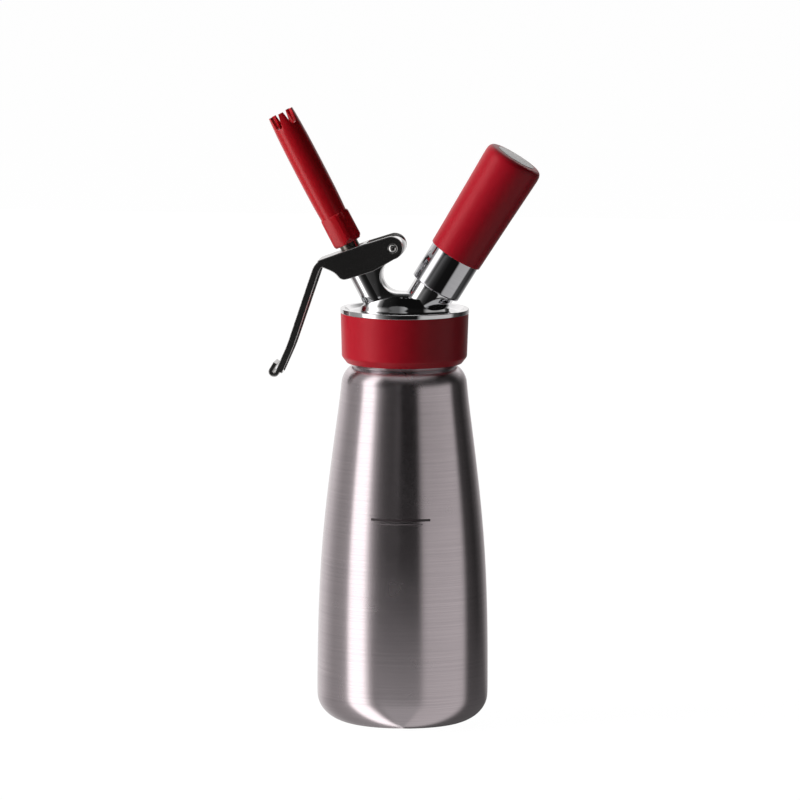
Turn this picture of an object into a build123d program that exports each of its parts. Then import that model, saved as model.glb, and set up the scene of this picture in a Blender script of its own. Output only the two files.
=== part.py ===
from build123d import *
import math
import os

# Whipped cream dispenser, millimetres. +Z is up, the origin is the centre of the bottle's base,
# the valve leans towards -X and the charger holder towards +X.

# Fits
face_gap = 0.1          # between flat faces that press on each other
seat_gap = 0.05         # radial, pieces pushed onto each other for good
running_gap = 0.06      # radial, a shaft in its bore
thread_gap = 0.75       # radial, thread core to the bore that holds the other thread
loose_gap = 0.3         # between pieces that only lie in each other

# Bottle, one drawn shell
bottle_radius = 40.75
bottle_wall = 1.0
base_round = 12.6       # between the flat base and the wall
wall_height = 24.0      # where the wall starts to draw in
belly = (38.7, 87.7)    # radius, height
chest = (34.5, 128.2)
shoulder = (30.0, 163.7)
neck_radius = 24.6      # core of the neck's thread
neck_root = 171.3       # height of the neck's foot
neck_length = 18.7

# Gasket between the bottle's rim and the head
gasket_thickness = 2.6
gasket_width = 3.6

# Head, heights counted from its gasket seat
skirt_length = 19.2
skirt_wall = 1.6
lip_radius = 30.7
lip_thickness = 2.2
lip_height = 6.4        # top of the lip
lip_round = 0.9
dish_depth = 2.0
dish_edge_radius = 28.7
dish_floor_radius = 26.4
dish_round = 1.8
hub_foot_radius = 21.8
hub_foot_round = 1.6
hub_top_radius = 19.0
hub_top_height = 12.4
hub_arch_radius = 42.0  # its top arches down towards the arm and the boss
hub_ridge_round = 0.9
dome_radius = 20.0      # hollow under the head
dome_height = 6.0
web_thickness = 13.4
notch_radius = 8.1      # C-shaped cut between the lever and the hub
notch_x = -2.9
notch_height = 22.1
saddle_length = 5.8     # flat run from the notch towards the charger boss
saddle_rise = (9.0, 4.2)    # the round that lifts it to the boss
pin_across = 19.06      # lever pin, square to the valve axis
pin_rise = 0.49         # and along it from the top of the arm
pin_boss_radius = 4.7

# Collar sleeve
collar_top_radius = 30.5
collar_bottom_radius = 29.9
collar_edge = 2.4       # how far its lower edge draws in
collar_edge_height = 3.1
collar_edge_round = 1.2
collar_overhang = 0.5   # sleeve below the end of the skirt

# Valve axis, heights counted along it from the point where it meets the bottle's axis
valve_lean = 28.0       # degrees
valve_drop = 14.3       # that point below the gasket seat
seat_height = 15.5
seat_boss_radius = 7.5
chamber_radius = 5.0
chamber_height = 23.0
arm_foot_radius = 4.6
arm_foot_height = 22.0
arm_top_radius = 6.8
arm_top_height = 46.0
pocket_depth = 7.5      # spring pocket in the top of the arm
stem_radius = 3.8
stem_bore_radius = 1.9
stem_neck_radius = 3.0
stem_reach = 6.8        # stem above the nut's flange
cross_hole_radius = 1.1
poppet_radius = 6.6
poppet_thickness = 1.8
seal_thickness = 1.8
ring_section = 0.52
ring_height = 30.6
nut_flange_radius = 6.2
nut_flange_thickness = 2.6
nut_lift = 4.2          # flange above the top of the arm
nut_neck_radius = 4.6
nut_neck_length = 5.8
spring_wire_radius = 0.5
spring_turns = 4.5

# Decorator tip
tip_length = 69.5
tip_grip_length = 14.7
tip_grip_across = 13.4  # across the flats
tip_grip_corner_radius = 7.3
tip_grip_turn = -8.0    # degrees, corners of the grip
tip_low_radius = 6.75
tip_crown_radius = 6.2
tip_bore_radius = 4.5   # at the crown
tip_throat_radius = 3.2
tip_thread_depth = 9.0
tip_teeth = 5
tooth_turn = -28.0      # degrees, middle of the first gap
tooth_gap = 4.8         # at the tip's end
tooth_gap_round = 1.65  # radius of its bottom
tooth_depth = 7.0
tip_ring_thickness = 1.6
stud_radius = 4.25      # thread core of the nut's stud

# Charger axis, heights counted along it from its start beside the bottle's axis
charger_lean = 31.4     # degrees
charger_drop = 9.5      # its start below the gasket seat
charger_start = -1.2    # and beside the bottle's axis
boss_radius = 10.5
boss_height = 30.2
spigot_radius = 9.7
spigot_height = 40.0
insert_height = 22.0
insert_radius = 4.6
insert_head_radius = 6.1
insert_head_height = 29.0
insert_top_height = 32.4
pin_radius = 0.9
pin_top_height = 38.5
passage_radius = 0.8
nozzle_radius = 2.4
nozzle_low = 9.7
nozzle_high = 18.0      # inside the head's ceiling
check_valve_wall = 1.1
check_valve_length = 4.6

# Gas charger, the 8 g size
charger_radius = 9.05
charger_neck_radius = 4.35
charger_neck_length = 9.0
charger_shoulder_length = 8.4
charger_length = 65.5
charger_gasket_thickness = 1.8
pierced_radius = 1.25

# Charger holder
sleeve_radius = 12.4
sleeve_wall = 1.55
sleeve_shown = 18.65    # bare chrome below the grip
grip_bottom_radius = 13.1
grip_top_radius = 14.5
grip_round = 3.0
holder_end_thickness = 1.6
holder_cap_thickness = 2.1
holder_cap_radius = 9.7
holder_cap_proud = 0.2
holder_cap_crown = 0.5

# Lever, drawn with its top plate level and its pin at the origin
lever_slope = 20.7      # degrees, rise of the plate towards the pin
lever_width = 18.4
lever_sheet = 2.0
ear_radius = 6.0
ear_rise = 0.65         # centre of the ears above the pin
plate_start = 11.4      # distance of the plate's edge from the pin
slot_centre = 19.3
slot_length = 12.2
slot_width = 10.6
cheek_outline = (       # from the knee under the plate round to the ears
    (-35.3, 4.65), (-34.9, 2.9), (-31.9, 0.2), (-29.9, -2.0), (-28.6, -6.1),
    (-24.0, -6.6), (-12.5, -7.1), (-6.0, -6.3),
)
cheek_rounds = (1.0, 1.0, 3.0, 3.0, 2.4, 6.0, 12.0, 12.0)
cheek_front = 30.0      # distance of the cheeks' top corner from the pin
tail_knee = 36.8
tail_knee_round = 8.0
tail_bend = (-63.3, -27.0)
tail_bend_round = 85.0
tail_end = (-73.9, -35.8)
tail_depth = 3.2        # over its edges, which are turned towards the bottle
tail_edges_end = 3.0    # plain end of the tail before the curl
tail_curl = ((-76.0, -33.2), (-71.7, -29.8))    # the end folded back outwards
tail_curl_round = 1.45
tail_end_width = 13.0
tail_corner = 4.5
tail_taper_start = 12.0  # below the pin
tail_taper_end = 62.0
tail_taper_round = 30.0
lever_pin_radius = 2.05
pin_head_height = 0.6

# Places that follow from the sizes above
rim_height = neck_root + neck_length
nut_flange_height = arm_top_height + nut_lift
stem_top_height = nut_flange_height + stem_reach
tip_base_height = nut_flange_height + nut_flange_thickness + nut_neck_length
seat = Pos(0, 0, rim_height + gasket_thickness + 2 * face_gap)
valve_axis = seat * Pos(0, 0, -valve_drop) * Rot(0, -valve_lean, 0)
charger_axis = seat * Pos(charger_start, 0, -charger_drop) * Rot(0, charger_lean, 0)
skirt_bore = neck_radius + thread_gap
skirt_radius = skirt_bore + skirt_wall
lip_foot = lip_height - lip_thickness
far = 400.0             # longer than any cut needs


def valve_axis_point(across, along):
    """A point on the valve's side view, in the head's own X and Z."""
    lean = math.radians(valve_lean)
    return (
        across * math.cos(lean) - along * math.sin(lean),
        across * math.sin(lean) + along * math.cos(lean) - valve_drop,
    )


pin_x, pin_height = valve_axis_point(pin_across, arm_top_height + pin_rise)
pin_place = seat * Pos(pin_x, 0, pin_height)


def turned(*edges):
    """Solid of revolution from a closed half section in X and Z."""
    return revolve(Plane.XZ * make_face(Curve() + list(edges)), Axis.Z)


def turned_points(*points):
    return turned(Polyline(*points, close=True))


def ring(inner, outer, low, high):
    return turned_points((inner, low), (outer, low), (outer, high), (inner, high))


def rod(radius, low, high):
    return turned_points((0, low), (radius, low), (radius, high), (0, high))


def bottle():
    heel = bottle_radius - base_round
    body = Spline(
        (bottle_radius, wall_height), belly, chest, shoulder, tangents=[(0, 1), (-0.12, 1)]
    )
    shoulder_round = TangentArc(
        body @ 1, (neck_radius + bottle_wall, neck_root), tangent=body % 1
    )
    full = turned(
        Line((0, 0), (heel, 0)),
        CenterArc((heel, base_round), base_round, -90, 90),
        Line((bottle_radius, base_round), (bottle_radius, wall_height)),
        body,
        shoulder_round,
        Line(shoulder_round @ 1, (neck_radius, neck_root + bottle_wall)),
        Line((neck_radius, neck_root + bottle_wall), (neck_radius, rim_height)),
        Line((neck_radius, rim_height), (0, rim_height)),
        Line((0, rim_height), (0, 0)),
    )
    mouth = full.faces().sort_by(Axis.Z)[-1]
    return offset(full, amount=-bottle_wall, openings=mouth)


def head_gasket():
    outer = skirt_bore - loose_gap
    return Pos(0, 0, rim_height + face_gap) * ring(
        outer - gasket_width, outer, 0, gasket_thickness
    )


def head_disc():
    """Skirt, lipped disc and hub, turned about the bottle's axis."""
    floor = lip_height - dish_depth
    return turned(
        FilletPolyline(
            (0, hub_top_height),
            (0, -skirt_length),
            (skirt_radius, -skirt_length),
            (skirt_radius, lip_foot),
            (lip_radius, lip_foot),
            (lip_radius, lip_height),
            (dish_edge_radius, lip_height),
            (dish_floor_radius, floor),
            (hub_foot_radius, floor),
            (hub_top_radius, hub_top_height),
            radius=[0, 0, 0, 0, 0, lip_round, lip_round / 2, dish_round, hub_foot_round, 0],
            close=True,
        )
    )


def hub_arch():
    """What lies above the hub's arched top."""
    above = Pos(0, hub_top_height) * Rectangle(
        2 * hub_foot_radius, 2 * hub_top_height
    )
    above -= Pos(0, hub_top_height - hub_arch_radius) * Circle(hub_arch_radius)
    block = extrude(Plane.XZ * above, amount=far, both=True)
    return block & rod(hub_foot_radius, 0, far)


def head_web():
    """Web from the arm over the C-shaped notch to the charger boss, with its pin boss."""
    arm_side = valve_axis_point(-1.0, arm_top_height - 0.5)
    arm_inner = valve_axis_point(arm_top_radius - 0.4, arm_top_height - 0.5)
    horn = (
        notch_x + notch_radius * math.cos(math.radians(112)),
        notch_height + notch_radius * math.sin(math.radians(112)),
    )
    saddle = (notch_x + saddle_length, notch_height - notch_radius)
    rise = (saddle[0] + saddle_rise[0], saddle[1] + saddle_rise[1])
    pin = (pin_x, pin_height)
    side = make_face(
        Curve()
        + [
            Polyline(
                rise,
                (rise[0] + saddle_rise[1], lip_height),
                (-hub_top_radius * 0.6, lip_height),
                arm_side,
                arm_inner,
                (pin[0] - pin_boss_radius * 0.9, pin[1] + pin_boss_radius * 0.4),
                (pin[0] + pin_boss_radius * 0.7, pin[1] - pin_boss_radius * 0.7),
                horn,
                (notch_x, notch_height),
                (notch_x, saddle[1]),
                saddle,
            ),
            TangentArc(saddle, rise, tangent=(1, 0)),
        ]
    )
    side += Pos(*pin) * Circle(pin_boss_radius)
    side -= Pos(notch_x, notch_height) * Circle(notch_radius)
    return extrude(Plane.XZ * side, amount=web_thickness / 2, both=True)


def head():
    to_valve = Pos(0, 0, -valve_drop) * Rot(0, -valve_lean, 0)
    to_charger = Pos(charger_start, 0, -charger_drop) * Rot(0, charger_lean, 0)
    body = head_disc() - hub_arch()
    hub_top = body.faces().filter_by(GeomType.CYLINDER).sort_by(Axis.Z)[-1]
    body = fillet(hub_top.edges(), hub_ridge_round) + head_web()
    arm = turned_points(
        (0, arm_foot_height),
        (arm_foot_radius, arm_foot_height),
        (arm_top_radius, arm_top_height),
        (0, arm_top_height),
    )
    body += to_valve * arm
    body += to_charger * rod(boss_radius, boss_radius, boss_height)
    body += to_charger * rod(spigot_radius, boss_radius, spigot_height)
    # hollow of the skirt and the dome above the seat
    body -= rod(skirt_bore, -skirt_length, 0)
    body -= turned(
        Polyline((0, dome_height), (0, 0), (dome_radius, 0)),
        TangentArc((0, dome_height), (dome_radius, 0), tangent=(1, 0)),
    )
    # valve seat under the dome, and the valve's bores
    body += to_valve * rod(seat_boss_radius, seat_height, chamber_height)
    body -= to_valve * rod(chamber_radius, 0, chamber_height)
    body -= to_valve * rod(stem_radius + running_gap, 0, arm_top_height)
    body -= to_valve * rod(
        spring_pocket_radius(), arm_top_height - pocket_depth, arm_top_height + loose_gap
    )
    # charger boss: nozzle, passage, thread of the insert, pocket for the charger's neck
    body += to_charger * rod(nozzle_radius, nozzle_low, nozzle_high)
    body -= to_charger * rod(passage_radius, 0, insert_height)
    body -= to_charger * rod(insert_radius + running_gap, insert_height, spigot_height)
    body -= to_charger * rod(
        insert_head_radius + running_gap, insert_head_height, spigot_height + loose_gap
    )
    body -= Pos(pin_x, 0, pin_height) * Rot(90, 0, 0) * Cylinder(
        lever_pin_radius + running_gap / 2, lever_width
    )
    return seat * body


def spring_pocket_radius():
    return stem_radius + 2 * spring_wire_radius + 2 * loose_gap + running_gap


def collar_sleeve():
    bottom = -skirt_length - collar_overhang
    top = lip_foot - seat_gap
    bore = skirt_radius + seat_gap
    return seat * turned(
        FilletPolyline(
            (collar_top_radius, top),
            (bore, top),
            (bore, bottom),
            (collar_bottom_radius - collar_edge, bottom),
            (collar_bottom_radius, bottom + collar_edge_height),
            radius=[0, 0, 0, collar_edge_round / 4, collar_edge_round],
            close=True,
        )
    )


def swept_bar(line, width, inner, outer):
    """Flat bar along a line in X and Z, between two depths on its inner side."""
    path = Plane.XZ * line
    start = Plane(origin=path @ 0, x_dir=(0, 1, 0), z_dir=path % 0)
    section = Pos(0, (inner + outer) / 2) * Rectangle(width, outer - inner)
    return sweep(start * section, path=path)


def tail_plan(margin):
    """The tapered outline of the lever seen from the tail's side, as a block."""
    wide = lever_width / 2 - margin
    narrow = tail_end_width / 2 - margin
    plan = make_face(
        FilletPolyline(
            (-wide, far),
            (-wide, -tail_taper_start),
            (-narrow, -tail_taper_end),
            (narrow, -tail_taper_end),
            (wide, -tail_taper_start),
            (wide, far),
            radius=[0, tail_taper_round, tail_corner, tail_corner, tail_taper_round, 0],
            close=True,
        )
    )
    return extrude(Plane.YZ * plan, amount=far, both=True)


def lever_cheeks():
    """Both cheeks with the plate between them, its pin at the origin and its plate level."""
    half_gap = lever_width / 2 - lever_sheet
    plate_top = ear_rise + ear_radius
    cheek = make_face(
        FilletPolyline(
            (0, plate_top),
            (-cheek_front, plate_top),
            *cheek_outline,
            (0, ear_rise - ear_radius),
            radius=[0, cheek_rounds[0], *cheek_rounds, 0],
            close=True,
        )
    )
    cheek += Pos(0, ear_rise) * Circle(ear_radius)
    body = extrude(Plane.XZ * cheek, amount=lever_width / 2, both=True)
    # the channel between the cheeks, open below and towards the pin
    channel = Polyline(
        (-plate_start, 2 * plate_top),
        (-plate_start, plate_top - lever_sheet),
        (-far, plate_top - lever_sheet),
        (-far, -far),
        (far, -far),
        (far, 2 * plate_top),
        close=True,
    )
    return body - extrude(Plane.XZ * make_face(channel), amount=half_gap, both=True)


def lever():
    plate_mid = ear_rise + ear_radius - lever_sheet / 2
    half_sheet = lever_sheet / 2
    tail_line = FilletPolyline(
        (-cheek_front, plate_mid),
        (-tail_knee, plate_mid),
        tail_bend,
        tail_end,
        *tail_curl,
        radius=[tail_knee_round, tail_bend_round, tail_curl_round, tail_curl_round],
    )
    last_length = math.dist(tail_bend, tail_end)
    edges_share = 1 - tail_edges_end / last_length
    edges_line = FilletPolyline(
        (-cheek_front, plate_mid),
        (-tail_knee, plate_mid),
        tail_bend,
        (
            tail_bend[0] + (tail_end[0] - tail_bend[0]) * edges_share,
            tail_bend[1] + (tail_end[1] - tail_bend[1]) * edges_share,
        ),
        radius=[tail_knee_round, tail_bend_round],
    )
    body = lever_cheeks()
    body += swept_bar(tail_line, lever_width, -half_sheet, half_sheet)
    body += swept_bar(edges_line, lever_width, 0, tail_depth - half_sheet)
    slot = Pos(-slot_centre, 0, plate_mid) * SlotOverall(slot_length, slot_width)
    body -= extrude(slot, amount=lever_sheet, both=True)
    body -= Rot(90, 0, 0) * Cylinder(lever_pin_radius + running_gap, 2 * lever_width)
    hollow = swept_bar(edges_line, lever_width, half_sheet, tail_depth)
    slope = Rot(0, -lever_slope, 0)
    body = slope * body & tail_plan(0)
    return pin_place * (body - (slope * hollow & tail_plan(lever_sheet)))


def lever_pin():
    half = lever_width / 2
    end = half + pin_head_height
    shaft = turned(
        Polyline((0, end), (0, -end)),
        TangentArc((0, -end), (lever_pin_radius, -half), tangent=(1, 0)),
        Line((lever_pin_radius, -half), (lever_pin_radius, half)),
        TangentArc((0, end), (lever_pin_radius, half), tangent=(1, 0)),
    )
    return pin_place * Rot(90, 0, 0) * shaft


def valve_stem():
    seal_low = seat_height - loose_gap - seal_thickness
    poppet_low = seal_low - poppet_thickness
    full_start = chamber_height - 2 * loose_gap
    thread_start = nut_flange_height - 2 * nut_flange_thickness
    body = turned_points(
        (0, poppet_low),
        (poppet_radius - 0.6, poppet_low),
        (poppet_radius, poppet_low + 0.6),
        (poppet_radius, seal_low),
        (stem_neck_radius, seal_low),
        (stem_neck_radius, full_start - 0.8),
        (stem_radius, full_start),
        (stem_radius, thread_start),
        (stem_neck_radius, thread_start + 0.8),
        (stem_neck_radius, stem_top_height),
        (0, stem_top_height),
    )
    holes_height = seat_height + 3 * cross_hole_radius
    body -= rod(stem_bore_radius, holes_height - 2 * cross_hole_radius, stem_top_height)
    for turn in (0, 90):
        cross = Rot(0, 90, turn) * Cylinder(cross_hole_radius, 4 * stem_radius)
        body -= Pos(0, 0, holes_height) * cross
    groove = ring(
        stem_radius - 2 * ring_section, far, ring_height - 1.3 * ring_section,
        ring_height + 1.3 * ring_section,
    )
    return valve_axis * (body - groove)


def valve_seal():
    high = seat_height - loose_gap
    return valve_axis * ring(
        stem_neck_radius + seat_gap, poppet_radius, high - seal_thickness, high
    )


def stem_ring():
    centre = stem_radius - ring_section
    return valve_axis * Pos(0, 0, ring_height) * Torus(centre, ring_section)


def stem_nut():
    neck_low = nut_flange_height + nut_flange_thickness
    stud_top = tip_base_height + tip_thread_depth - loose_gap - tip_ring_thickness
    body = turned_points(
        (0, nut_flange_height),
        (nut_flange_radius, nut_flange_height),
        (nut_flange_radius, neck_low),
        (nut_neck_radius, neck_low),
        (nut_neck_radius, tip_base_height - loose_gap),
        (stud_radius, tip_base_height - loose_gap),
        (stud_radius, stud_top - 0.5),
        (stud_radius - 0.5, stud_top),
        (0, stud_top),
    )
    body -= rod(stem_neck_radius + seat_gap, nut_flange_height, stem_top_height + face_gap)
    body -= rod(stem_bore_radius, nut_flange_height, far)
    return valve_axis * body


def valve_spring():
    """Coil between the pocket's floor and the nut, its ends ground flat."""
    low = arm_top_height - pocket_depth + face_gap
    high = nut_flange_height - face_gap
    mean = stem_radius + loose_gap + spring_wire_radius
    coil = Helix(pitch=(high - low) / spring_turns, height=high - low, radius=mean)
    start = Plane(origin=coil @ 0, z_dir=coil % 0)
    wire = sweep(start * Circle(spring_wire_radius), path=coil, is_frenet=True)
    wire = Pos(0, 0, low) * wire
    keep = Pos(0, 0, (low + high) / 2) * Cylinder(2 * mean, high - low)
    return valve_axis * (wire & keep)


def tip_seal_ring():
    high = tip_base_height + tip_thread_depth - face_gap
    return valve_axis * ring(
        stem_bore_radius + loose_gap, stud_radius + thread_gap - loose_gap,
        high - tip_ring_thickness, high,
    )


def decorator_tip():
    end = tip_base_height + tip_length
    grip_top = tip_base_height + tip_grip_length
    body = turned_points(
        (0, tip_base_height),
        (tip_low_radius, tip_base_height),
        (tip_low_radius, grip_top),
        (tip_crown_radius, end),
        (0, end),
    )
    grip = Pos(0, 0, tip_base_height) * Rot(0, 0, tip_grip_turn) * extrude(
        RegularPolygon(tip_grip_across / 2, 6, major_radius=False), tip_grip_length
    )
    drum = turned(
        Polyline(
            (0, tip_base_height),
            (tip_grip_corner_radius - 1.0, tip_base_height),
            (tip_grip_corner_radius, tip_base_height + 1.5),
            (tip_grip_corner_radius - 0.3, grip_top - 1.5),
            (tip_low_radius - 0.1, grip_top),
            (0, grip_top),
            (0, tip_base_height),
        ),
    )
    body += grip & drum
    socket_top = tip_base_height + tip_thread_depth
    body -= rod(stud_radius + thread_gap, tip_base_height, socket_top)
    body -= turned_points(
        (0, socket_top),
        (tip_throat_radius, socket_top),
        (tip_bore_radius, end),
        (0, end),
    )
    notch = make_face(
        FilletPolyline(
            (tooth_gap / 2, end + loose_gap),
            (-tooth_gap / 2, end + loose_gap),
            (-tooth_gap_round, end - tooth_depth),
            (tooth_gap_round, end - tooth_depth),
            radius=[0, 0, tooth_gap_round * 0.9, tooth_gap_round * 0.9],
            close=True,
        )
    )
    cutter = extrude(Plane.XZ * notch, amount=2 * tip_crown_radius)
    for tooth in range(tip_teeth):
        body -= Rot(0, 0, tooth_turn + tooth * 360 / tip_teeth) * cutter
    return valve_axis * body


def piercing_insert():
    body = turned_points(
        (0, insert_height + face_gap),
        (insert_radius, insert_height + face_gap),
        (insert_radius, insert_head_height + face_gap),
        (insert_head_radius, insert_head_height + face_gap),
        (insert_head_radius, insert_top_height),
        (0, insert_top_height),
    )
    return charger_axis * (body - rod(pin_radius + seat_gap, insert_height, insert_top_height))


def piercing_pin():
    bore = pin_radius / 2
    body = turned_points(
        (0, insert_height + 2 * face_gap),
        (pin_radius, insert_height + 2 * face_gap),
        (pin_radius, pin_top_height - 2 * pin_radius),
        (bore, pin_top_height),
        (0, pin_top_height),
    )
    return charger_axis * (body - rod(bore / 2, insert_height, pin_top_height))


def check_valve():
    low = nozzle_low + loose_gap
    inner = nozzle_radius + seat_gap
    return charger_axis * ring(
        inner, inner + check_valve_wall, low, low + check_valve_length
    )


def charger_gasket():
    low = insert_top_height + face_gap
    return charger_axis * ring(
        pin_radius + loose_gap, insert_head_radius - loose_gap,
        low, low + charger_gasket_thickness,
    )


def charger_neck_height():
    return insert_top_height + charger_gasket_thickness + 2 * face_gap + loose_gap / 3


def gas_charger():
    neck_low = charger_neck_height()
    neck_high = neck_low + charger_neck_length
    body_low = neck_high + charger_shoulder_length
    end = neck_low + charger_length
    dome_low = end - charger_radius * 0.75
    body = turned(
        Polyline(
            (0, end),
            (0, neck_low),
            (charger_neck_radius - 0.4, neck_low),
            (charger_neck_radius, neck_low + 0.4),
            (charger_neck_radius, neck_high),
        ),
        Spline(
            (charger_neck_radius, neck_high), (charger_radius, body_low),
            tangents=[(0.35, 1), (0, 1)],
        ),
        Line((charger_radius, body_low), (charger_radius, dome_low)),
        Spline(
            (charger_radius, dome_low), (0, end), tangents=[(0, 1), (-1, 0)],
            tangent_scalars=[1.4, 1.4],
        ),
    )
    hole = rod(pierced_radius, neck_low, pin_top_height + 2 * pin_radius)
    return charger_axis * (body - hole)


def holder_end():
    return charger_neck_height() + charger_length + loose_gap


def grip_top():
    return holder_end() + holder_end_thickness + seat_gap + holder_cap_thickness


def holder_sleeve():
    low = boss_height + loose_gap
    shown_top = boss_height + sleeve_shown
    bore = charger_radius + loose_gap
    thread_top = spigot_height + loose_gap
    end = holder_end() + holder_end_thickness
    body = turned_points(
        (0, low),
        (sleeve_radius - 0.4, low),
        (sleeve_radius, low + 0.4),
        (sleeve_radius, shown_top),
        (bore + sleeve_wall, shown_top),
        (bore + sleeve_wall, end),
        (0, end),
    )
    body -= rod(spigot_radius + thread_gap, low, thread_top)
    body -= rod(bore, low, holder_end())
    return charger_axis * body


def holder_grip():
    low = boss_height + sleeve_shown + seat_gap
    high = grip_top()
    bore = charger_radius + loose_gap + sleeve_wall + seat_gap
    slope = (grip_top_radius - grip_bottom_radius) / (high - low)
    corner = (grip_top_radius - slope * grip_round, high - grip_round)
    shelf = holder_end() + holder_end_thickness + seat_gap
    crown = (grip_top_radius - grip_round, high)
    return charger_axis * turned(
        Polyline(
            crown,
            (holder_cap_radius + seat_gap, high),
            (holder_cap_radius + seat_gap, shelf),
            (bore, shelf),
            (bore, low),
            (grip_bottom_radius - 0.5, low),
            (grip_bottom_radius, low + 0.5),
            corner,
        ),
        TangentArc(corner, crown, tangent=(slope, 1)),
    )


def holder_cap():
    low = holder_end() + holder_end_thickness + seat_gap
    high = grip_top() + holder_cap_proud
    edge = (holder_cap_radius, high)
    return charger_axis * turned(
        Polyline((0, high + holder_cap_crown), (0, low), (holder_cap_radius, low), edge),
        TangentArc((0, high + holder_cap_crown), edge, tangent=(1, 0)),
    )


nodes = {
    "bottle": bottle,
    "head_gasket": head_gasket,
    "head": head,
    "collar_sleeve": collar_sleeve,
    "lever": lever,
    "lever_pin": lever_pin,
    "valve_stem": valve_stem,
    "valve_seal": valve_seal,
    "stem_ring": stem_ring,
    "stem_nut": stem_nut,
    "valve_spring": valve_spring,
    "tip_seal_ring": tip_seal_ring,
    "decorator_tip": decorator_tip,
    "piercing_insert": piercing_insert,
    "piercing_pin": piercing_pin,
    "check_valve": check_valve,
    "charger_gasket": charger_gasket,
    "gas_charger": gas_charger,
    "holder_sleeve": holder_sleeve,
    "holder_grip": holder_grip,
    "holder_cap": holder_cap,
}

os.makedirs("parts", exist_ok=True)
for name, make in nodes.items():
    export_step(make(), f"parts/{name}.step")
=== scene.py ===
import math

import bpy
from mathutils import Matrix, Vector


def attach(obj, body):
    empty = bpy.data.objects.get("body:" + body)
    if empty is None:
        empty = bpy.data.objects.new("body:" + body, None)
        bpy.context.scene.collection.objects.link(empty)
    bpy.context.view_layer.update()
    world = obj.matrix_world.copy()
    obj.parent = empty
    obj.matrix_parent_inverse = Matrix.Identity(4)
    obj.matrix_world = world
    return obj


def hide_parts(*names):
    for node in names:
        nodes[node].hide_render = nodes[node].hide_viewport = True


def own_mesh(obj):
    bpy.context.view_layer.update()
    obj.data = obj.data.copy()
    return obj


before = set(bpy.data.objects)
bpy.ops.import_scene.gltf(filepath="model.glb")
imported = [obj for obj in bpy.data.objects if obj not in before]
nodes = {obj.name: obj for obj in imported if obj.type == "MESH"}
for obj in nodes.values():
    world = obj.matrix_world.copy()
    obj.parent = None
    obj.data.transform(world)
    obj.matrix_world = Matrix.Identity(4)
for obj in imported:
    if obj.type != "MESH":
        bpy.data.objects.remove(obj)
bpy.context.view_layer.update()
mm = 0.001
print("frame loaded")

# heights and axes that the pieces share, in millimetres and degrees
seatHeight = 192.8
valveLean = -28.0      # towards -X
valveFoot = 178.5      # where the valve's axis meets the bottle's
chargerLean = 31.4
chargerFoot = (-1.2, 183.3)
pinX = -5.0
pinZ = 228.5
leverSlope = 20.7

headPlace = Matrix.Translation((0, 0, seatHeight * mm))
valvePlace = Matrix.Translation((0, 0, valveFoot * mm)) @ Matrix.Rotation(math.radians(valveLean), 4, 'Y')
chargerPlace = Matrix.Translation((chargerFoot[0] * mm, 0, chargerFoot[1] * mm))
chargerPlace = chargerPlace @ Matrix.Rotation(math.radians(chargerLean), 4, 'Y')
pinPlace = Matrix.Translation((pinX * mm, 0, pinZ * mm))
leverPlace = pinPlace @ Matrix.Rotation(math.radians(-leverSlope), 4, 'Y')


def deselectAll():
    if bpy.context.object and bpy.context.object.mode != 'OBJECT':
        bpy.ops.object.mode_set(mode='OBJECT')
    bpy.ops.object.select_all(action='DESELECT')


def activate(*pieces):
    deselectAll()
    for piece in pieces:
        piece.select_set(True)
    bpy.context.view_layer.objects.active = pieces[0]


def settle(piece, place=None):    # moves the piece and leaves its place in the mesh
    activate(piece)
    if place is not None:
        piece.matrix_world = place @ piece.matrix_world
    bpy.ops.object.transform_apply(location=True, rotation=True, scale=True)


def faceOutwards():    # in edit mode
    bpy.ops.mesh.select_all(action='SELECT')
    bpy.ops.mesh.remove_doubles(threshold=0.000002)
    bpy.ops.mesh.normals_make_consistent(inside=False)


def closeHoles():    # in edit mode
    bpy.ops.mesh.select_all(action='DESELECT')
    bpy.ops.mesh.select_non_manifold()
    bpy.ops.mesh.fill_holes(sides=0)
    faceOutwards()


def addModifier(piece, kind, **values):
    activate(piece)
    modifier = piece.modifiers.new(kind.lower(), kind)
    for key, value in values.items():
        setattr(modifier, key, value)
    bpy.ops.object.modifier_apply(modifier=modifier.name)


def cutWith(piece, tool, operation='DIFFERENCE'):
    addModifier(piece, 'BOOLEAN', operation=operation, solver='EXACT', object=tool)
    bpy.data.objects.remove(tool)


def joinAll(name, pieces):
    activate(*pieces)
    bpy.ops.object.join()
    pieces[0].name = name
    return pieces[0]


def shadeByAngle(piece, degrees):
    activate(piece)
    bpy.ops.object.shade_smooth_by_angle(angle=math.radians(degrees))


def roundEdges(piece, reach, segments, degrees):    # bevels every edge sharper than that
    addModifier(piece, 'BEVEL', width=reach * mm, segments=segments, limit_method='ANGLE',
                angle_limit=math.radians(degrees), use_clamp_overlap=True)
    shadeByAngle(piece, degrees)


def melt(piece, grain, passes):    # one closed skin with soft edges out of overlapping solids
    activate(piece)
    piece.data.remesh_voxel_size = grain * mm
    piece.data.remesh_voxel_adaptivity = 0
    bpy.ops.object.voxel_remesh()
    addModifier(piece, 'SMOOTH', factor=0.5, iterations=passes)
    bpy.ops.object.shade_smooth()
    return piece


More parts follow.
